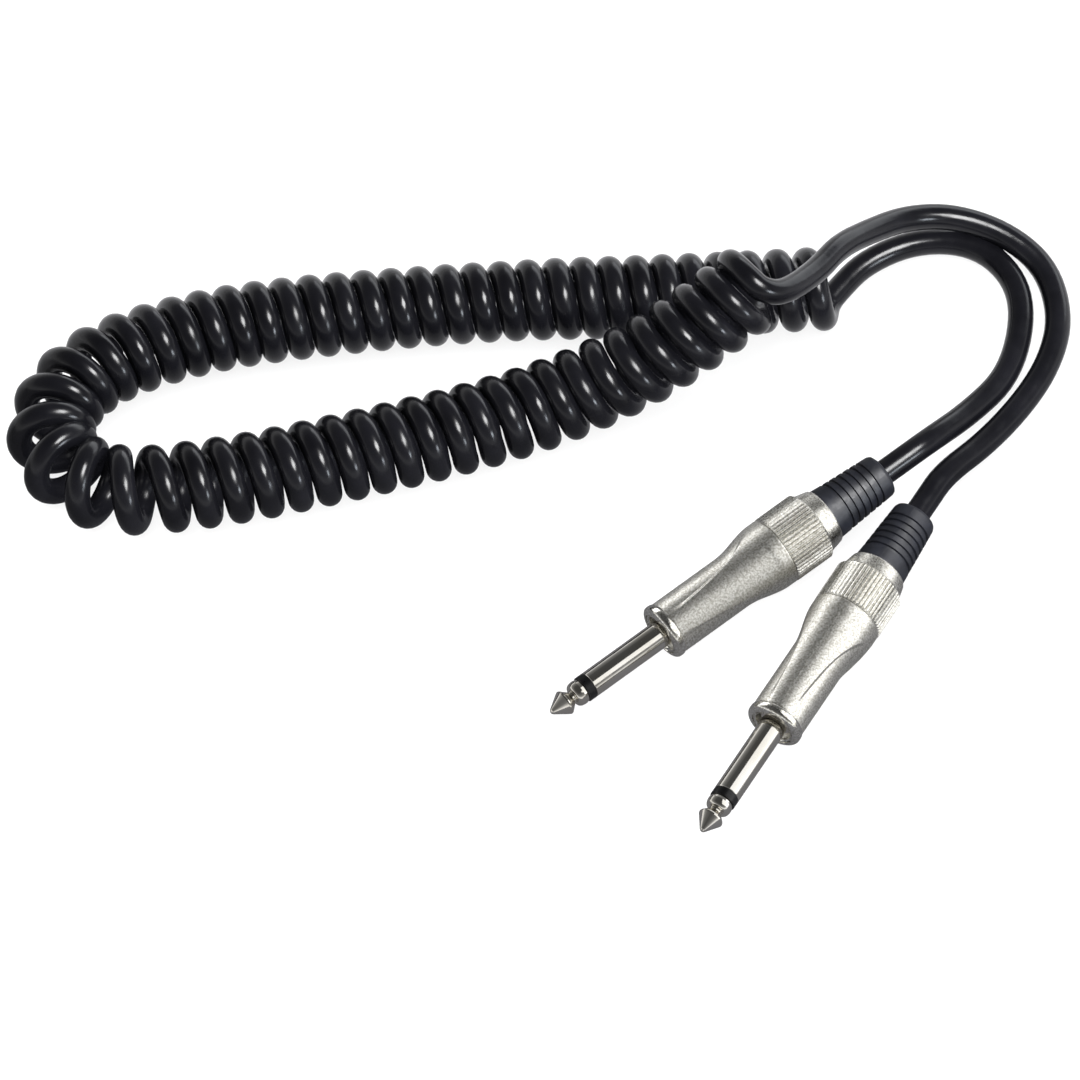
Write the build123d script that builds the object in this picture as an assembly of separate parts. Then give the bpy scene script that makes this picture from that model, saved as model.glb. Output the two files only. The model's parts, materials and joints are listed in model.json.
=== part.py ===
from build123d import *
import os
from math import atan, cos, degrees, pi, radians, sin, tan

# Coiled instrument cable: two quarter-inch mono plugs joined by one curly lead.
# Millimetres, +Z up. Z = 0 is the surface it lies on, and the origin is below the middle of the two plugs.
# A plug is drawn along +Z from its contact tip (station 0) to the back of its boot, then laid down.
# A plug's local +X is the crown of its handle, and local Y runs across the handle's two finger scoops.

# ---- driving dimensions -------------------------------------------------------------------------
PLUG_R = 3.175                 # quarter-inch phone plug contact
CABLE_R = 3.0                  # outer radius of the cable jacket
COIL_R = 10.0                  # outer radius of the curly section
TOUCH = 0.05                   # radial clearance of a running fit
GAP = 0.15                     # visible joint between the cap and the handle

TIP_END = 9.3                  # stations along the plug, from the tip
RING_END = 11.2
RIM = 32.0
ROOT_START = 33.3
COLLAR_START = 33.6
SHOULDER = 36.0
BASE_END = 41.0
LUG_START = 41.6
WASHER_END = 44.0
STUB_START = 55.0
LINER_END = 56.5
LUG_END = 59.0
HANDLE_END = 66.0
CHUCK_END = 71.5
SPIGOT_END = 72.0
CAP_HOLLOW_END = 76.0
KNURL_END = 76.7
CAP_END = 80.4
STUB_END = 96.0
BOOT_END = 97.5

ROD_R = 1.0                    # radii of the plug's pieces
TUBE_R = 1.9
ROOT_R = 3.5
RIM_R = 6.65
BARREL_R = 6.7
HANDLE_R = 8.4
CAP_R = 8.5
MOUTH_R = 4.45
BORE_R = 5.3
REAR_BORE_R = 6.0
SPIGOT_R = 7.2
BOOT_R = 6.4
BOOT_FLANGE_R = 6.95
BOOT_END_R = 5.3

KNURL_RIBS = 56
KNURL_DEPTH = 0.38
BOOT_GROOVES = 6
BOOT_GROOVE_PITCH = 1.88
BOOT_GROOVE_DEPTH = 0.55

# A laid plug rests on its front rim and on the front edge of its knurl, so it points a little down.
RIM_REST = 33.2                # stations of those two circles
KNURL_REST = HANDLE_END + GAP + 0.4
LAID_SLOPE = atan((CAP_R - RIM_R) / (KNURL_REST - RIM_REST))
LAID_TIP_Z = RIM_R * cos(LAID_SLOPE) - RIM_REST * sin(LAID_SLOPE)

# Each plug: its tip's place, which way its axis runs back along the table, its slope up to the back, and
# how far its crown is rolled from upright. Plug b is held level by its lead.
PLUGS = {
    "a": {"tip": (-43.78, -15.19, LAID_TIP_Z), "azimuth": 38.6, "tilt": degrees(LAID_SLOPE), "roll": 31.0},
    "b": {"tip": (-9.34, -49.09, CAP_R), "azimuth": 59.7, "tilt": 0.0, "roll": 2.0},
}

# The two straight leads, from inside each plug's boot to inside the curly section's end. The first two
# points of each lie on the plug's axis, at these stations.
LEAD_STATIONS = (STUB_END, 111.0)
LEAD_ROUTES = {
    "a": [
        (52.2, 65.3, 5.6), (61.7, 76.6, 3.0), (65.3, 92.1, 3.0), (63.7, 104.1, 3.0), (54.7, 112.7, 3.0),
        (41.2, 113.6, 3.0), (28.7, 107.6, 3.0), (21.7, 98.9, 3.0), (19.0, 91.6, 3.2),
    ],
    "b": [
        (55.2, 58.4, 4.6), (64.2, 70.4, 3.0), (70.9, 80.6, 3.0), (73.6, 92.6, 3.0), (70.7, 106.1, 3.0),
        (61.2, 115.2, 6.0), (48.7, 117.8, 9.0), (37.7, 114.3, 11.2), (28.7, 107.8, 16.8),
        (22.7, 101.1, 22.5), (17.7, 92.1, 25.2), (13.0, 83.7, 28.6), (6.7, 80.9, 33.6), (-0.3, 86.7, 36.0),
    ],
}

# The curly section's centre line: back branch, hairpin, front branch, and the end that lies on the other.
COIL_ROUTE = [
    (21.0, 97.0, 10.0), (-16.3, 95.8, 10.0), (-56.3, 93.0, 10.0), (-93.3, 89.4, 10.0), (-125.3, 83.7, 10.0),
    (-154.7, 75.6, 10.0), (-160.5, 56.2, 10.0), (-147.4, 40.7, 10.0),
    (-119.3, 43.6, 10.0), (-89.3, 50.3, 10.0), (-59.3, 59.2, 10.0), (-38.3, 66.7, 10.0),
    (-15.3, 75.0, 20.2), (3.9, 86.5, 29.2),
]


# ---- helpers ------------------------------------------------------------------------------------
def turned(*outline):
    """A solid of revolution about Z from (radius, station) points."""
    return revolve(Plane.XZ * make_face(Polyline(*outline, close=True)), Axis.Z)


def ring(outer, inner, start, end):
    """A plain tube between two stations."""
    return turned((inner, start), (outer, start), (outer, end), (inner, end))


def box(x0, x1, y0, y1, z0, z1):
    """A box from its two corners."""
    return Pos((x0 + x1) / 2, (y0 + y1) / 2, (z0 + z1) / 2) * Box(x1 - x0, y1 - y0, z1 - z0)


def laid(plug):
    """The place of a plug: tip position, then azimuth, slope and roll about its own axis."""
    place = PLUGS[plug]
    down_the_table = Pos(*place["tip"]) * Rot(0, 0, place["azimuth"]) * Rot(0, 90 - place["tilt"], 0)
    return down_the_table * Rot(0, 0, 180 + place["roll"])


def axis_point(plug, station):
    """The point of a laid plug's axis at a station."""
    place = PLUGS[plug]
    turn, tilt = radians(place["azimuth"]), radians(place["tilt"])
    x, y, z = place["tip"]
    return (
        x + station * cos(tilt) * cos(turn),
        y + station * cos(tilt) * sin(turn),
        z + station * sin(tilt),
    )


def tube_along(points, radius, name):
    """A round tube along straight runs joined by tangent arcs as large as the runs allow."""
    corners = [Vector(*point) for point in points]
    radii = []
    for before, corner, after in zip(corners, corners[1:], corners[2:]):
        run_in, run_out = corner - before, after - corner
        half_turn = radians(run_in.get_angle(run_out)) / 2
        radii.append(0.45 * min(run_in.length, run_out.length) / tan(half_turn))
    path = FilletPolyline(*corners, radius=radii)
    section = Plane(origin=path @ 0, z_dir=path % 0) * Circle(radius)
    solid = sweep(section, path=path)
    share = solid.volume / (pi * radius**2 * path.length)
    print(name, "length", round(path.length, 1), "volume share", round(share, 4))
    print("  radii", [round(value, 1) for value in radii])
    return solid


# ---- plug pieces, each drawn along +Z -----------------------------------------------------------
def tip_contact():
    """The tip with its nose cone, neck and bead, and the rod that carries it to the back."""
    neck_r, bead_r, bead_start = 1.65, 3.05, 6.3
    nose = Polyline(
        (0, 0), (0.45, 0), (0.75, 0.3), (3.0, 3.8), (3.05, 4.1), (2.9, 4.4), (neck_r, 5.8), (neck_r, bead_start)
    )
    bead = Bezier((neck_r, bead_start), (bead_r - 0.2, bead_start), (bead_r, 7.3), (bead_r, 8.3))
    rod = Polyline(
        (bead_r, 8.3), (bead_r - 0.25, TIP_END), (ROD_R, TIP_END), (ROD_R, 46.0), (0, 46.0), (0, 0)
    )
    return revolve(Plane.XZ * make_face(nose + bead + rod), Axis.Z)


def tip_insulator():
    """The black ring between the tip and the sleeve."""
    return ring(PLUG_R, ROD_R, TIP_END, RING_END)


def rod_insulator():
    """The tube that keeps the tip rod clear of the sleeve."""
    return ring(TUBE_R, ROD_R, RING_END, LUG_START)


def sleeve_contact():
    """The ground sleeve, with the wide base that sits in the handle."""
    return turned(
        (TUBE_R, RING_END), (2.95, RING_END), (PLUG_R, RING_END + 0.25), (PLUG_R, ROOT_START),
        (ROOT_R, ROOT_START), (ROOT_R, SHOULDER), (BORE_R, SHOULDER), (BORE_R, BASE_END),
        (TUBE_R, BASE_END),
    )


def base_collar():
    """The lobed nut round the sleeve's root, seen in the handle's mouth."""
    collar = turned(
        (ROOT_R, COLLAR_START), (4.0, COLLAR_START), (4.3, COLLAR_START + 0.3), (4.3, SHOULDER),
        (ROOT_R, SHOULDER),
    )
    lobes = 6
    for index in range(lobes):
        notch = Rot(0, 0, 360 / lobes * (index + 0.5)) * Pos(4.95, 0, (COLLAR_START + SHOULDER) / 2)
        collar -= notch * Cylinder(1.0, SHOULDER - COLLAR_START + 1)
    return collar


def rear_washer():
    """The insulating washer between the ground lug and the tip lug."""
    return ring(2.9, ROD_R, LUG_START, WASHER_END)


def ground_lug():
    """The ground tag: a disc on the sleeve's base, a strip, and the claws that grip the jacket."""
    strip_low, strip_high, strip_half = -4.0, -3.4, 1.7
    disc = ring(5.0, TUBE_R, BASE_END, LUG_START)
    strip = box(strip_low, strip_high, -strip_half, strip_half, BASE_END + 0.3, LUG_END)
    claw_start = 56.0
    claws = ring(CABLE_R + 0.6, CABLE_R, claw_start, LUG_END)
    claws -= box(1.4, 6.0, -6.0, 6.0, claw_start - 1, LUG_END + 1)
    return disc + strip + claws


def tip_lug():
    """The tip tag: a washer staked on the rod's end, with a solder tail."""
    washer = ring(2.6, ROD_R, WASHER_END, WASHER_END + 0.6)
    tail = box(1.5, 2.1, -1.3, 1.3, WASHER_END + 0.3, 51.0)
    return washer + tail


def cable_stub():
    """The jacketed cable inside the plug."""
    return Pos(0, 0, (STUB_START + STUB_END) / 2) * Cylinder(CABLE_R, STUB_END - STUB_START)


def core_wire():
    """The insulated centre conductor, from the jacket's end to the tip tag's tail."""
    wire_r = 0.75
    path = FilletPolyline(
        (0, 0, STUB_START), (0, 0, 52.5), (wire_r, 0, 50.0), (wire_r, 0, 46.3), radius=[1.5, 1.5]
    )
    section = Plane(origin=path @ 0, z_dir=path % 0) * Circle(wire_r)
    return sweep(section, path=path)


def shield_tail():
    """The twisted shield, from the jacket's end to the ground strip."""
    wire_r, start_x, strip_x = 0.55, -1.6, -2.85
    path = FilletPolyline(
        (start_x, 0, STUB_START), (start_x, 0, 53.5), (strip_x, 0, 51.0), (strip_x, 0, 47.5),
        radius=[1.5, 1.5],
    )
    section = Plane(origin=path @ 0, z_dir=path % 0) * Circle(wire_r)
    return sweep(section, path=path)


def handle_shell():
    """The die-cast handle: a slim barrel with two crowns that flare to the cap, so each side has a scoop."""
    barrel_side = Bezier((BARREL_R, 53.0), (BARREL_R, 58.5), (HANDLE_R, 59.0), (HANDLE_R, 64.0))
    rim_round = Bezier((5.5, RIM), (6.3, RIM), (RIM_R, RIM + 0.5), (RIM_R, COLLAR_START - 0.6))
    mouth_round = Bezier((MOUTH_R, RIM + 0.8), (MOUTH_R, RIM + 0.25), (4.9, RIM), (5.5, RIM))
    barrel = make_face(
        mouth_round + rim_round + Line((RIM_R, COLLAR_START - 0.6), (BARREL_R, 53.0)) + barrel_side
        + Polyline((HANDLE_R, 64.0), (HANDLE_R, HANDLE_END), (MOUTH_R, HANDLE_END), (MOUTH_R, RIM + 0.8))
    )
    crown = turned((MOUTH_R, RIM_REST), (RIM_R, RIM_REST), (HANDLE_R, 64.5), (MOUTH_R, 64.5))
    right = Bezier((2.9, 32.0), (3.6, 44.0), (5.0, 56.0), (8.6, 64.5))
    left = Bezier((-2.9, 32.0), (-3.6, 44.0), (-5.0, 56.0), (-8.6, 64.5))
    crown_plan = make_face(
        right + left + Line((-2.9, 32.0), (2.9, 32.0)) + Line((-8.6, 64.5), (8.6, 64.5))
    )
    crowns = crown & extrude(Plane.YZ * crown_plan, amount=12.0, both=True)
    shell = revolve(Plane.XZ * barrel, Axis.Z) + crowns
    shell += ring(SPIGOT_R, REAR_BORE_R, HANDLE_END, SPIGOT_END)
    bore = turned(
        (0, SHOULDER), (BORE_R, SHOULDER), (BORE_R, 57.0), (REAR_BORE_R, 58.5),
        (REAR_BORE_R, SPIGOT_END + 1), (0, SPIGOT_END + 1),
    )
    return shell - bore


def liner():
    """The thin insulating tube inside the handle, round the solder tags."""
    return ring(BORE_R, BORE_R - 0.2, BASE_END, LINER_END)


def chuck():
    """The slotted plastic collet that clamps the cable when the cap is tightened."""
    chuck_r = REAR_BORE_R - TOUCH
    body = turned(
        (CABLE_R, 60.0), (5.6, 60.0), (chuck_r, 61.5), (chuck_r, 69.5), (4.6, CHUCK_END),
        (CABLE_R, CHUCK_END),
    )
    for quarter in range(2):
        body -= Rot(0, 0, 90 * quarter + 45) * box(-7, 7, -0.4, 0.4, 63.0, 72.0)
    return body


def screw_cap():
    """The knurled cap that screws on the handle's spigot and clamps the chuck and the boot."""
    start = HANDLE_END + GAP
    rib = 2 * pi / KNURL_RIBS
    land = 0.15 * rib
    outline = []
    for index in range(KNURL_RIBS):
        for radius, angle in (
            (CAP_R - KNURL_DEPTH, index * rib),
            (CAP_R, (index + 0.5) * rib - land),
            (CAP_R, (index + 0.5) * rib + land),
        ):
            outline.append((radius * cos(angle), radius * sin(angle)))
    ribs = extrude(make_face(Polyline(*outline, close=True)), amount=KNURL_END - start)
    knurl = Pos(0, 0, start) * ribs & turned(
        (0, start), (CAP_R - 0.4, start), (CAP_R, start + 0.4), (CAP_R, KNURL_END - 0.6),
        (7.9, KNURL_END), (0, KNURL_END),
    )
    cone = turned(
        (0, KNURL_END), (7.75, KNURL_END), (7.6, KNURL_END + 0.5), (6.95, CAP_END - 0.3),
        (6.75, CAP_END), (0, CAP_END),
    )
    thread_r, neck_r = SPIGOT_R + TOUCH, BOOT_R + TOUCH
    hollow = turned(
        (0, start - 1), (thread_r, start - 1), (thread_r, CAP_HOLLOW_END), (neck_r, CAP_HOLLOW_END),
        (neck_r, CAP_END + 1), (0, CAP_END + 1),
    )
    return knurl + cone - hollow


def boot():
    """The rubber strain relief: a flange held inside the cap, a plain band, ribs, and a round end."""
    band_end = CAP_END + 3.3
    taper = (BOOT_R - BOOT_END_R) / (BOOT_END - CAP_END)
    bore, flange_start, flange_end = CABLE_R + 0.1, 73.4, CAP_HOLLOW_END - 0.2
    outline = [
        (bore, flange_start), (BOOT_FLANGE_R, flange_start), (BOOT_FLANGE_R, flange_end),
        (BOOT_R, flange_end), (BOOT_R, CAP_END + 0.5),
    ]
    for index in range(BOOT_GROOVES):
        start = band_end + BOOT_GROOVE_PITCH * index
        radius = BOOT_R - taper * (start - CAP_END)
        outline += [
            (radius, start), (radius - BOOT_GROOVE_DEPTH, start + 0.15),
            (radius - BOOT_GROOVE_DEPTH, start + 0.75), (radius - 0.1, start + 0.95),
        ]
    outline += [
        (BOOT_END_R, BOOT_END - 0.9), (BOOT_END_R - 0.25, BOOT_END - 0.3), (BOOT_END_R - 0.8, BOOT_END),
        (bore, BOOT_END),
    ]
    return turned(*outline)


PLUG_PIECES = {
    "tip_contact": tip_contact,
    "tip_insulator": tip_insulator,
    "rod_insulator": rod_insulator,
    "sleeve_contact": sleeve_contact,
    "base_collar": base_collar,
    "rear_washer": rear_washer,
    "ground_lug": ground_lug,
    "tip_lug": tip_lug,
    "cable_stub": cable_stub,
    "core_wire": core_wire,
    "shield_tail": shield_tail,
    "handle": handle_shell,
    "liner": liner,
    "chuck": chuck,
    "screw_cap": screw_cap,
    "boot": boot,
}

# ---- assembly -----------------------------------------------------------------------------------
nodes = {}
for piece, make in PLUG_PIECES.items():
    drawn = make()
    for plug in PLUGS:
        nodes[f"plug_{plug}_{piece}"] = laid(plug) * drawn

boxes = [shape.bounding_box() for shape in nodes.values()]
low = [min(tuple(item.min)[axis] for item in boxes) for axis in range(3)]
high = [max(tuple(item.max)[axis] for item in boxes) for axis in range(3)]
print("plugs from", low, "to", high)

nodes["curly_cable"] = tube_along(COIL_ROUTE, COIL_R, "curly_cable")
for plug, route in LEAD_ROUTES.items():
    start = [axis_point(plug, station) for station in LEAD_STATIONS]
    nodes[f"lead_{plug}"] = tube_along(start + route, CABLE_R, f"lead_{plug}")

os.makedirs("parts", exist_ok=True)
for name, shape in nodes.items():
    export_step(shape, f"parts/{name}.step")
print(len(nodes), "nodes")
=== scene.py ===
import json
import math

import bpy
import numpy as np
from mathutils import Matrix, Vector


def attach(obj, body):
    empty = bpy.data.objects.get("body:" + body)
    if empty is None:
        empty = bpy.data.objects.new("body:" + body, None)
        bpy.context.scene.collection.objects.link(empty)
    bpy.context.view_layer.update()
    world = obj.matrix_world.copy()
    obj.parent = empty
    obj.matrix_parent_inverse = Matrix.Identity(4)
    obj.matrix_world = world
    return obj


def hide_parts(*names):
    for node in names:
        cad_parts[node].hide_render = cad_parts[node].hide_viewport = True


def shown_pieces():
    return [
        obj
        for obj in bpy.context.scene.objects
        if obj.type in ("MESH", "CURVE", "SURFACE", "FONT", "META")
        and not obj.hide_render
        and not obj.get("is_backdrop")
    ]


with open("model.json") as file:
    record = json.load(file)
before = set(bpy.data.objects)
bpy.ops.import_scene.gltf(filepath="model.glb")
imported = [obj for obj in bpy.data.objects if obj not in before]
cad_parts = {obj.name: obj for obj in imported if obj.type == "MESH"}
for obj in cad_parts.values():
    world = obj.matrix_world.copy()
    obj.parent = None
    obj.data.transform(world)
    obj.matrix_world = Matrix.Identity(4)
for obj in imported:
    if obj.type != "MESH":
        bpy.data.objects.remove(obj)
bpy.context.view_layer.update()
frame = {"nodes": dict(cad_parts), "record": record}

# Millimetres everywhere in this file, turned into metres where a Blender object is made.
MM = 0.001

# ---- driving dimensions -------------------------------------------------------------------------
# A station is a distance along a plug from its tip.
CABLE_R = 3.0
COIL_R = 10.0                  # the height of the coil's centre line where it lies flat
MOUNT_STATION = 21.3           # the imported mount's point
LEAD_STATIONS = (96.0, 103.0, 111.0)   # the cable stays straight here, where the boot slides along it

# How far each plug's crown is rolled from upright, in degrees.
PLUG_ROLL = {"a": 31.0, "b": 2.0}

# The two straight leads, from each plug's boot to the curly section's end: chosen close to part.py's.
LEAD_A = [
    (52.5, 64.9, 5.6), (61.7, 76.6, 3.0), (65.3, 92.1, 3.0), (63.2, 103.7, 3.0), (54.5, 112.5, 3.0),
    (41.2, 113.6, 3.0), (28.7, 107.6, 3.0), (21.7, 98.9, 3.0),
]
LEAD_B = [
    (56.2, 57.4, 4.6), (65.1, 69.3, 3.0), (71.2, 80.3, 3.0), (73.9, 92.5, 3.0), (70.7, 106.1, 3.0),
    (61.4, 113.4, 6.0), (49.1, 116.4, 9.0), (38.1, 114.0, 12.0), (29.3, 107.0, 17.0),
    (22.4, 99.6, 22.5), (17.4, 91.0, 25.5), (9.8, 81.6, 31.0),
]
# The curly section's centre line: part.py's points, shifted by a millimetre or two to follow the photograph.
COIL_ROUTE = [
    (21.0, 96.2, 10.0), (-16.0, 94.1, 10.0), (-55.6, 93.2, 10.0), (-93.4, 89.5, 10.0),
    (-125.3, 84.7, 10.0), (-152.5, 73.7, 10.0), (-161.4, 54.7, 10.0), (-148.6, 39.7, 10.0),
    (-119.2, 43.1, 10.0), (-89.4, 50.4, 10.0), (-59.5, 58.7, 10.0), (-38.2, 66.9, 10.0),
    (-15.1, 73.7, 20.2), (4.3, 86.3, 29.2),
]
# Distance between turns at places along that line: they touch on the straights, fan out at the fold.
PITCH = [
    (0, 6.9), (28, 6.8), (34, 6.2), (62, 6.2), (68, 6.27), (150, 6.27), (160, 6.6), (175, 7.2),
    (185, 7.6), (197, 7.6), (202, 8.2), (208, 9.1), (226, 9.1), (231, 7.6), (245, 7.0), (265, 6.6),
    (275, 6.4), (308, 6.5), (345, 6.7), (376, 6.7),
]
# Its outer radius at places along that line: the back branch is wound a little tighter.
COIL_SIZE = [
    (0, 9.8), (60, 9.6), (75, 9.4), (95, 9.45), (120, 9.75), (150, 9.9), (175, 10.2), (190, 10.35),
    (212, 10.45), (320, 10.4), (345, 10.3), (376, 10.4),
]
COIL_TRIM = 1.0                # how far inside that line's ends the turns begin and end
TURNS = 55.62
POINTS_PER_TURN = 12
ROUTE_SAMPLES = 4000
GUIDE_R = 0.01                 # of a spline that only guides, small so that it widens no bounds


# ---- helpers ------------------------------------------------------------------------------------
def metres(point):
    """A point given in millimetres, in metres."""
    return tuple(MM * value for value in point)


def nurbs(name, points, radius=None, resolution=12):
    """A quadratic NURBS spline with these control points, in millimetres; a tube if it has a radius."""
    curve = bpy.data.curves.new(name, "CURVE")
    curve.dimensions = "3D"
    spline = curve.splines.new("NURBS")
    spline.points.add(len(points) - 1)
    for target, point in zip(spline.points, points):
        target.co = (*metres(point), 1.0)
        target.radius = (radius or GUIDE_R) * MM
    spline.order_u = 3
    spline.use_endpoint_u = True
    spline.resolution_u = resolution
    curve.resolution_u = resolution
    curve.bevel_depth = 1.0 if radius else 0.0   # this times each point's radius is the tube's radius
    curve.bevel_resolution = 9
    curve.use_fill_caps = True
    thing = bpy.data.objects.new(name, curve)
    bpy.context.scene.collection.objects.link(thing)
    return thing


def sampled(points):
    """Points along the NURBS spline of a route, in millimetres."""
    guide = nurbs("route_guide", points, resolution=48)
    bpy.context.view_layer.update()
    mesh = bpy.data.meshes.new_from_object(guide)
    line = np.array([v.co[:] for v in mesh.vertices]) / MM
    bpy.data.objects.remove(guide)
    bpy.data.meshes.remove(mesh)
    return line


# ---- the cord: lead a, the curly section's helix, lead b ----------------------------------------
def helix_points():
    """Control points of the helix round the curly section's line, from lead a's end to lead b's."""
    line = sampled(COIL_ROUTE)
    steps = np.linalg.norm(np.diff(line, axis=0), axis=1)
    along = np.concatenate([[0.0], np.cumsum(steps)])
    even = np.linspace(COIL_TRIM, along[-1] - COIL_TRIM, ROUTE_SAMPLES)
    axis = np.stack([np.interp(even, along, line[:, k]) for k in range(3)], axis=1)
    tangent = np.gradient(axis, even, axis=0)
    tangent /= np.linalg.norm(tangent, axis=1)[:, None]
    pitch = np.interp(even, *zip(*PITCH))
    size = np.interp(even, *zip(*COIL_SIZE))
    turns = np.concatenate([[0.0], np.cumsum(np.diff(even) * 2 / (pitch[1:] + pitch[:-1]))])
    turns *= TURNS / turns[-1]
    up = np.array([0.0, 0.0, 1.0])
    count = int(round(TURNS * POINTS_PER_TURN))
    points = []
    for index in range(count + 1):
        done = TURNS * index / count
        s = np.interp(done, turns, even)
        outer = np.interp(s, even, size)
        centre = np.array([np.interp(s, even, axis[:, k]) for k in range(3)])
        centre += up * (outer - COIL_R)
        ahead = np.array([np.interp(s, even, tangent[:, k]) for k in range(3)])
        ahead /= np.linalg.norm(ahead)
        first = up - ahead * (up @ ahead)
        first /= np.linalg.norm(first)
        second = np.cross(ahead, first)
        angle = math.pi + 2 * math.pi * done
        radius = (outer - CABLE_R) / math.cos(math.pi / POINTS_PER_TURN)
        points.append(tuple(centre + radius * (math.cos(angle) * first + math.sin(angle) * second)))
    return points


def axis_ends(plug):
    """A plug's tip, and its axis towards the back, from its packed mount."""
    mount = next(m for m in frame["record"]["mounts"] if m["name"] == f"plug_{plug}_contact")
    back = -np.array(mount["axis"])
    return np.array(mount["pos_m"]) / MM - MOUNT_STATION * back, back


def lead_start(plug):
    """The lead's first points, straight out of the plug's boot."""
    tip, back = axis_ends(plug)
    return [tuple(tip + station * back) for station in LEAD_STATIONS]


route = lead_start("a") + LEAD_A + helix_points() + LEAD_B[::-1] + lead_start("b")[::-1]
cord = nurbs("cable", route, radius=CABLE_R, resolution=6)
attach(cord, "cable")
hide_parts("lead_a", "curly_cable", "lead_b")


# ---- materials ----------------------------------------------------------------------------------
class Nodes:
    """A material with a Principled shader and the few node helpers that the finishes below share."""

    def __init__(self, name, color, roughness, metallic=0.0, specular=0.5):
        self.mat = bpy.data.materials.new(name)
        self.mat.use_nodes = True
        self.tree = self.mat.node_tree
        self.shader = self.tree.nodes["Principled BSDF"]
        self.shader.inputs["Base Color"].default_value = (*color, 1.0)
        self.shader.inputs["Roughness"].default_value = roughness
        self.shader.inputs["Metallic"].default_value = metallic
        self.shader.inputs["Specular IOR Level"].default_value = specular
        self.coords = self.tree.nodes.new("ShaderNodeTexCoord").outputs["Object"]

    def noise(self, scale, detail=2.0):
        node = self.tree.nodes.new("ShaderNodeTexNoise")
        node.inputs["Scale"].default_value = scale
        node.inputs["Detail"].default_value = detail
        self.tree.links.new(self.coords, node.inputs["Vector"])
        return node.outputs["Fac"]

    def ramp(self, source, low, high, start=0.3, end=0.7):
        node = self.tree.nodes.new("ShaderNodeMapRange")
        node.inputs["From Min"].default_value = start
        node.inputs["From Max"].default_value = end
        node.inputs["To Min"].default_value = low
        node.inputs["To Max"].default_value = high
        self.tree.links.new(source, node.inputs["Value"])
        return node.outputs["Result"]

    def mix(self, factor, first, second):
        node = self.tree.nodes.new("ShaderNodeMix")
        node.data_type = "RGBA"
        node.inputs["A"].default_value = (*first, 1.0)
        node.inputs["B"].default_value = (*second, 1.0)
        self.tree.links.new(factor, node.inputs["Factor"])
        return node.outputs["Result"]

    def mottle(self, scale, detail, dark, light, start=0.3, end=0.7):
        """A base colour that wanders between two shades."""
        spread = self.ramp(self.noise(scale, detail), 0.0, 1.0, start, end)
        self.link(self.mix(spread, dark, light), "Base Color")

    def link(self, source, socket):
        self.tree.links.new(source, self.shader.inputs[socket])

    def bump(self, source, height, strength=1.0, below=None):
        node = self.tree.nodes.new("ShaderNodeBump")
        node.inputs["Strength"].default_value = strength
        node.inputs["Distance"].default_value = height * MM
        self.tree.links.new(source, node.inputs["Height"])
        if below:
            self.tree.links.new(below, node.inputs["Normal"])
        return node.outputs["Normal"]


def cable_jacket():
    """Glossy black polyurethane with faint waviness and handling marks."""
    made = Nodes("cable_jacket", (0.0045, 0.0045, 0.0055), 0.2, specular=0.24)
    made.link(made.ramp(made.noise(260.0, 3.0), 0.15, 0.27), "Roughness")
    made.mottle(90.0, 4.0, (0.003, 0.003, 0.004), (0.007, 0.007, 0.009))
    wave = made.bump(made.noise(420.0, 1.0), 0.05, 0.5)
    made.link(made.bump(made.noise(5200.0, 2.0), 0.004, 0.35, below=wave), "Normal")
    return made.mat


def contact_nickel():
    """Polished nickel plate with faint wear."""
    made = Nodes("contact_nickel", (0.78, 0.76, 0.71), 0.09, metallic=1.0)
    made.link(made.ramp(made.noise(700.0, 3.0), 0.05, 0.13), "Roughness")
    made.mottle(120.0, 3.0, (0.80, 0.78, 0.74), (0.72, 0.69, 0.62))
    made.link(made.bump(made.noise(2400.0, 2.0), 0.002, 0.5), "Normal")
    return made.mat


def satin_nickel(name, roughness, grain):
    """Satin pearl-nickel plate over a blasted die casting: a fine grain that sparkles."""
    made = Nodes(name, (0.74, 0.72, 0.67), roughness, metallic=1.0)
    made.link(made.ramp(made.noise(3000.0, 2.0), roughness - 0.12, roughness + 0.12), "Roughness")
    made.mottle(2300.0, 3.0, (0.58, 0.56, 0.50), (0.99, 0.98, 0.93), 0.38, 0.62)
    coarse = made.bump(made.noise(1500.0, 2.0), 0.03 * grain, 0.8)
    made.link(made.bump(made.noise(3400.0, 2.0), 0.018 * grain, 0.9, below=coarse), "Normal")
    return made.mat


def moulded(name, dark, light, roughness, grain_scale, grain_height):
    """Moulded rubber or plastic: two close shades, uneven gloss and a fine moulded texture."""
    made = Nodes(name, dark, roughness, specular=0.4)
    made.mottle(300.0, 4.0, dark, light)
    made.link(made.ramp(made.noise(900.0, 3.0), roughness - 0.08, roughness + 0.08), "Roughness")
    made.link(made.bump(made.noise(grain_scale, 2.0), grain_height, 0.6), "Normal")
    return made.mat


def plain_metal(name, dark, light, roughness):
    """Sheet or wire metal inside the plug."""
    made = Nodes(name, light, roughness, metallic=1.0)
    made.mottle(500.0, 4.0, dark, light)
    made.link(made.ramp(made.noise(1500.0, 2.0), roughness - 0.06, roughness + 0.1), "Roughness")
    made.link(made.bump(made.noise(1800.0, 2.0), 0.006, 0.5), "Normal")
    return made.mat


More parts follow.
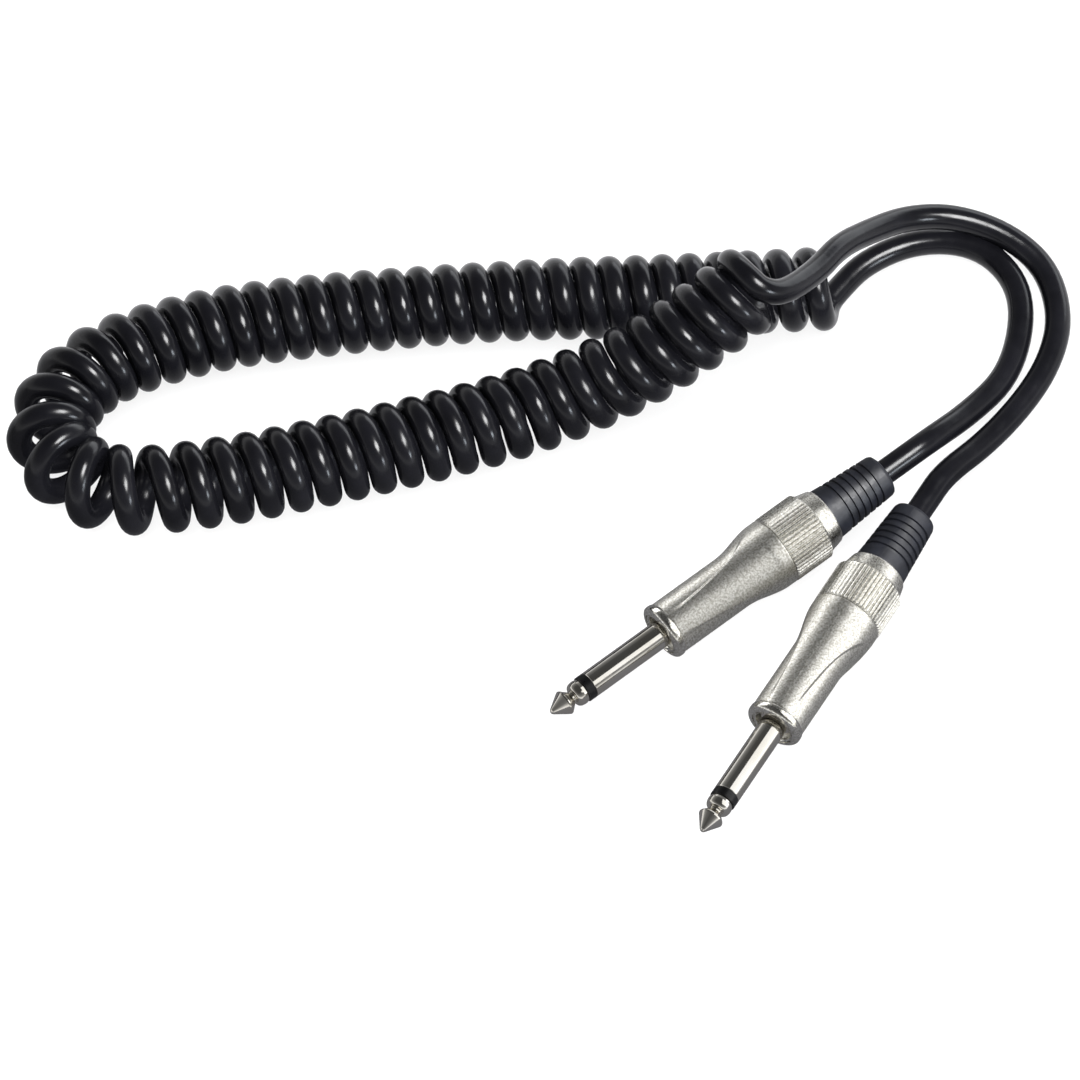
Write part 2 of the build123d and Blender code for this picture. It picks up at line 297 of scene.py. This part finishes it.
JACKET = cable_jacket()
SATIN = satin_nickel("satin_nickel", 0.42, 1.0)           # the handles
RIM_FINISH = satin_nickel("rim_nickel", 0.16, 0.15)       # the lip round their mouths
FINISHES = {
    "contact_nickel": contact_nickel(),
    "satin_nickel": satin_nickel("cap_nickel", 0.34, 0.6),
    "tag_brass": plain_metal("tag_brass", (0.62, 0.50, 0.28), (0.80, 0.70, 0.42), 0.3),
    "copper_braid": plain_metal("copper_braid", (0.50, 0.24, 0.12), (0.76, 0.42, 0.26), 0.35),
    "black_plastic": moulded(
        "black_plastic", (0.008, 0.008, 0.009), (0.016, 0.016, 0.018),
        roughness=0.35, grain_scale=2500.0, grain_height=0.006,
    ),
    "white_plastic": moulded(
        "white_plastic", (0.74, 0.73, 0.69), (0.86, 0.85, 0.82),
        roughness=0.4, grain_scale=1500.0, grain_height=0.006,
    ),
    "liner_plastic": moulded(
        "liner_plastic", (0.60, 0.57, 0.46), (0.74, 0.71, 0.60),
        roughness=0.3, grain_scale=900.0, grain_height=0.004,
    ),
    "boot_rubber": moulded(
        "boot_rubber", (0.004, 0.0045, 0.007), (0.009, 0.010, 0.015),
        roughness=0.50, grain_scale=3200.0, grain_height=0.012,
    ),
    "cable_jacket": JACKET,
}
cord.data.materials.append(JACKET)
for part in frame["record"]["subparts"]:
    node = frame["nodes"][part["node"]]
    node.data.materials.clear()
    node.data.materials.append(FINISHES[part["material_slot"]])


# ---- the handles --------------------------------------------------------------------------------
RIM, RIM_REST, BASE_END, HANDLE_END, SPIGOT_END = 32.0, 33.2, 36.0, 66.0, 72.0
RIM_R, BARREL_R, HANDLE_R, MOUTH_R = 6.65, 6.6, 8.4, 4.45
LIP_R, LIP_INNER_R, LIP_DEPTH, LIP_STEPS = 6.85, 5.3, 1.1, 12      # the polished lip round the mouth
POLISH_END, BARREL_START = RIM + 2.3, RIM + 2.5
BORE_R, REAR_BORE_R, SPIGOT_R = 5.3, 6.0, 7.2
BORE_STEP, REAR_BORE_STEP = 57.0, 58.5                             # where the bore widens
SCOOP_START, SCOOP_END = 53.0, 64.0
CROWN_LENGTH = 31.3            # the crowns rise evenly over this much
SEAM_HEIGHT, SEAM_WIDTH, SEAM_START, SEAM_END = 0.035, 0.07, 35.5, 65.2
THREAD_PITCH, THREAD_DEPTH, THREAD_RINGS = 1.25, 0.42, 60
BARREL_RINGS, HANDLE_SIDES = 150, 288


def smooth(t):
    """0 to 1 with level ends, as t goes from 0 to 1."""
    t = min(max(t, 0.0), 1.0)
    return t * t * (3 - 2 * t)


def barrel_radius(s):
    """The slim barrel, which swells to the cap between the two scoop stations."""
    return BARREL_R + (HANDLE_R - BARREL_R) * smooth((s - SCOOP_START) / (SCOOP_END - SCOOP_START))


def crown_radius(s):
    """The two crowns, which run straight from the rim up to the cap."""
    return min(RIM_R + (HANDLE_R - RIM_R) * (s - RIM_REST) / CROWN_LENGTH, HANDLE_R)


def crown_half_angle(s):
    """Half the angle that each crown spans: it widens slowly, then closes behind the scoops."""
    t = (s - RIM_REST) / (SCOOP_END - RIM_REST)
    return math.radians(25 + 20 * t + 47 * t**5)


def handle_radius(s, angle):
    """Outer radius of the handle at a station and an angle from its crown."""
    from_crown = abs((angle + math.pi / 2) % math.pi - math.pi / 2)
    base, crown = barrel_radius(s), crown_radius(s)
    if crown <= base:
        return base
    edge = crown_half_angle(s)
    t = (s - RIM_REST) / (SCOOP_END - RIM_REST)
    blend = math.radians(6.5 + 9 * smooth((t - 0.75) / 0.25) + 14 * smooth((0.25 - t) / 0.25))
    radius = base + (crown - base) * smooth((edge - from_crown) / blend + 0.5)
    seam = SEAM_HEIGHT * math.exp(-((from_crown * radius / SEAM_WIDTH) ** 2))
    return radius + seam * smooth((s - SEAM_START) / 1.5) * smooth(SEAM_END - s)


def handle_profile():
    """The handle's outer section as (station, radius), with None where the radius varies round it."""
    section = [
        (RIM + 0.9, MOUTH_R), (RIM + 0.45, MOUTH_R + 0.05), (RIM + 0.2, MOUTH_R + 0.2), (RIM + 0.1, 4.8),
        (RIM + 0.12, 4.95), (RIM + 0.45, 5.0), (RIM + 0.45, 5.2), (RIM + 0.1, 5.25),
    ]
    for step in range(LIP_STEPS + 1):
        angle = math.pi / 2 * step / LIP_STEPS
        section.append((RIM + LIP_DEPTH * (1 - math.cos(angle)),
                        LIP_INNER_R + (LIP_R - LIP_INNER_R) * math.sin(angle)))
    section += [(RIM + 1.7, LIP_R), (RIM + 2.1, LIP_R - 0.06), (RIM + 2.35, LIP_R - 0.2)]
    for step in range(BARREL_RINGS + 1):
        section.append((BARREL_START + (HANDLE_END - 0.25 - BARREL_START) * step / BARREL_RINGS, None))
    section += [(HANDLE_END - 0.08, HANDLE_R - 0.08), (HANDLE_END, HANDLE_R - 0.25),
                (HANDLE_END, SPIGOT_R + 0.1)]
    return section


def handle_mesh(name):
    """One closed skin: mouth, lip, barrel with crowns and scoops, threaded spigot, and the bore inside."""
    angles = [2 * math.pi * k / HANDLE_SIDES for k in range(HANDLE_SIDES)]
    rings = [[(s, radius or handle_radius(s, angle)) for angle in angles] for s, radius in handle_profile()]
    for step in range(THREAD_RINGS + 1):
        s = HANDLE_END + 0.05 + (SPIGOT_END - HANDLE_END - 0.35) * step / THREAD_RINGS
        run_in = smooth((s - HANDLE_END - 0.3) / 0.6)
        ring = []
        for k in range(HANDLE_SIDES):
            phase = (s / THREAD_PITCH - k / HANDLE_SIDES) % 1.0
            depth = THREAD_DEPTH * (0.5 + 0.5 * math.cos(2 * math.pi * phase)) * run_in
            ring.append((s, SPIGOT_R - depth))
        rings.append(ring)
    inside = [
        (SPIGOT_END, SPIGOT_R - 0.5), (SPIGOT_END, REAR_BORE_R + 0.1), (SPIGOT_END - 0.1, REAR_BORE_R),
        (REAR_BORE_STEP, REAR_BORE_R), (BORE_STEP, BORE_R), (BASE_END, BORE_R), (BASE_END, MOUTH_R),
    ]
    rings += [[place] * HANDLE_SIDES for place in inside]
    mesh = bpy.data.meshes.new(name)
    points = [
        (MM * radius * math.cos(angle), MM * radius * math.sin(angle), MM * s)
        for ring in rings for angle, (s, radius) in zip(angles, ring)
    ]
    faces = []
    for i in range(len(rings)):
        here, there = i * HANDLE_SIDES, (i + 1) % len(rings) * HANDLE_SIDES
        for k in range(HANDLE_SIDES):
            turn = (k + 1) % HANDLE_SIDES
            faces.append((here + k, here + turn, there + turn, there + k))
    mesh.from_pydata(points, [], faces)
    mesh.shade_smooth()
    for finish in (SATIN, RIM_FINISH):
        mesh.materials.append(finish)
    polished = sum(1 for s, radius in handle_profile() if radius and s < POLISH_END) * HANDLE_SIDES
    for face in mesh.polygons[:polished]:
        face.material_index = 1
    mesh.set_sharp_from_angle(angle=math.radians(35))
    return mesh


def plug_place(plug):
    """Matrix that lays a plug drawn along +Z from its tip: azimuth, slope, and roll about its own axis."""
    tip, back = axis_ends(plug)
    azimuth, slope = math.atan2(back[1], back[0]), math.asin(back[2])
    laid = Matrix.Rotation(azimuth, 4, "Z") @ Matrix.Rotation(math.pi / 2 - slope, 4, "Y")
    roll = Matrix.Rotation(math.radians(180 + PLUG_ROLL[plug]), 4, "Z")
    return Matrix.Translation(metres(tip)) @ laid @ roll


for plug in PLUG_ROLL:
    mesh = handle_mesh(f"handle_{plug}")
    mesh.transform(plug_place(plug))
    handle = bpy.data.objects.new(f"handle_{plug}", mesh)
    bpy.context.scene.collection.objects.link(handle)
    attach(handle, "cable")
    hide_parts(f"plug_{plug}_handle")

# ---- camera, floor and light --------------------------------------------------------------------
ELEVATION = math.radians(58.5)
AIM = Vector(metres((-46.3, 34.1, 0.0)))
VIEW_WIDTH = 0.2483            # metres across the picture at the aim point
DISTANCE = 8.0                 # far away, as the photograph shows almost no perspective
camera_data = bpy.data.cameras.new("camera")
camera_data.lens = DISTANCE * camera_data.sensor_width / VIEW_WIDTH
camera_data.clip_end = 20.0
camera = bpy.data.objects.new("camera", camera_data)
bpy.context.scene.collection.objects.link(camera)
back = Vector((0.0, -math.cos(ELEVATION), math.sin(ELEVATION)))
camera.location = AIM + DISTANCE * back
camera.rotation_euler = (-back).to_track_quat("-Z", "Y").to_euler()
bpy.context.scene.camera = camera


def floor_paper():
    """White paper with a painted reflection: it shows dim in the polished metal, and bright behind the coil,
    painted to look like a lit sweep.
    """
    white = (0.93, 0.93, 0.93)
    made = Nodes("floor_paper", white, 0.9, specular=0.1)
    places = made.tree.nodes.new("ShaderNodeSeparateXYZ")
    made.tree.links.new(made.coords, places.inputs["Vector"])
    # Painted reflection: glossy rays see the floor dark in front and pale behind the coil, while other rays
    # see plain white.
    behind = made.ramp(places.outputs["Y"], 0.0, 1.0, 0.05, 0.105)
    painted_reflection = made.tree.nodes.new("ShaderNodeMix")
    painted_reflection.data_type = "RGBA"
    painted_reflection.inputs["A"].default_value = (*white, 1.0)
    path = made.tree.nodes.new("ShaderNodeLightPath")
    made.tree.links.new(path.outputs["Is Glossy Ray"], painted_reflection.inputs["Factor"])
    made.tree.links.new(made.mix(behind, (0.13, 0.13, 0.14), (0.8, 0.8, 0.82)), painted_reflection.inputs["B"])
    made.link(painted_reflection.outputs["Result"], "Base Color")
    return made.mat


bpy.ops.mesh.primitive_plane_add(size=6.0, location=(0, 0, 0))
floor = bpy.context.object
floor.name = "floor"
floor.data.materials.append(floor_paper())
floor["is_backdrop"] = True


def studio_world():
    """Dark above and pale near the horizon, as in a white sweep with its lamps switched on."""
    world = bpy.data.worlds.new("studio")
    world.use_nodes = True
    tree = world.node_tree
    coords = tree.nodes.new("ShaderNodeTexCoord")
    split = tree.nodes.new("ShaderNodeSeparateXYZ")
    ramp = tree.nodes.new("ShaderNodeValToRGB")
    ramp.color_ramp.interpolation = "EASE"
    stops = ramp.color_ramp.elements
    for height, glow in ((0.42, 0.26), (0.64, 0.14), (0.84, 0.07)):
        stops.new(height).color = (glow, glow, glow, 1.0)
    stops[0].position, stops[0].color = 0.12, (1.0, 1.0, 1.0, 1.0)
    stops[-1].color = (0.06, 0.06, 0.06, 1.0)
    tree.links.new(coords.outputs["Generated"], split.inputs["Vector"])
    tree.links.new(split.outputs["Z"], ramp.inputs["Fac"])
    tree.links.new(ramp.outputs["Color"], tree.nodes["Background"].inputs["Color"])
    return world


bpy.context.scene.world = studio_world()
bpy.context.scene.view_settings.view_transform = "Standard"


def only_on(lamp, *things):
    """A lamp that lights only these objects."""
    group = bpy.data.collections.new(f"{lamp.name}_on")
    for thing in things:
        group.objects.link(thing)
    lamp.light_linking.receiver_collection = group


def softbox(name, direction, distance, width, height, radiance, color=(1.0, 1.0, 1.0), shadow=True):
    """A soft box that far away in that direction, facing the middle of the view; sizes in metres."""
    light = bpy.data.lights.new(name, "AREA")
    light.shape = "RECTANGLE"
    light.size, light.size_y = width, height
    light.energy = radiance * math.pi * width * height
    light.color = color
    light.use_shadow = shadow
    lamp = bpy.data.objects.new(name, light)
    bpy.context.scene.collection.objects.link(lamp)
    way = Vector(direction).normalized()
    lamp.location = AIM + distance * way
    lamp.rotation_euler = way.to_track_quat("Z", "Y").to_euler()
    lamp.visible_camera = False
    return lamp


plugs = [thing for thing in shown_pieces() if thing is not cord]
satin = [thing for thing in plugs if thing.active_material in (SATIN, FINISHES["satin_nickel"])]
boots = [thing for thing in plugs if thing.active_material is FINISHES["boot_rubber"]]
COOL, COOLER = (0.92, 0.96, 1.0), (0.85, 0.92, 1.0)
only_on(softbox("side", (0.80, 0.0, 0.60), 2.0, 2.1, 2.25, 1.15), *plugs)
only_on(softbox("satin_side", (0.80, 0.0, 0.60), 2.05, 2.15, 2.3, 0.42), *satin)
only_on(softbox("satin_back", (-0.5, 0.8, 0.4), 2.0, 1.6, 0.8, 1.9, shadow=False), *satin)
only_on(softbox("key", (0.43, -0.18, 0.88), 1.6, 0.7, 0.6, 40.0, shadow=False), cord, *boots)
only_on(softbox("low_key", (0.76, -0.53, 0.38), 1.6, 0.4, 0.3, 26.0, COOLER, shadow=False), cord, *boots)
only_on(softbox("back_right", (0.5, 0.8, 0.24), 1.6, 1.6, 0.6, 2.6, COOL), cord)
only_on(softbox("floor_glow", (0.0, 0.0, 1.0), 3.0, 5.0, 5.0, 2.8, shadow=False), floor)
only_on(softbox("floor_key", (-0.35, 0.3, 0.9), 2.0, 1.4, 1.4, 0.4), floor)
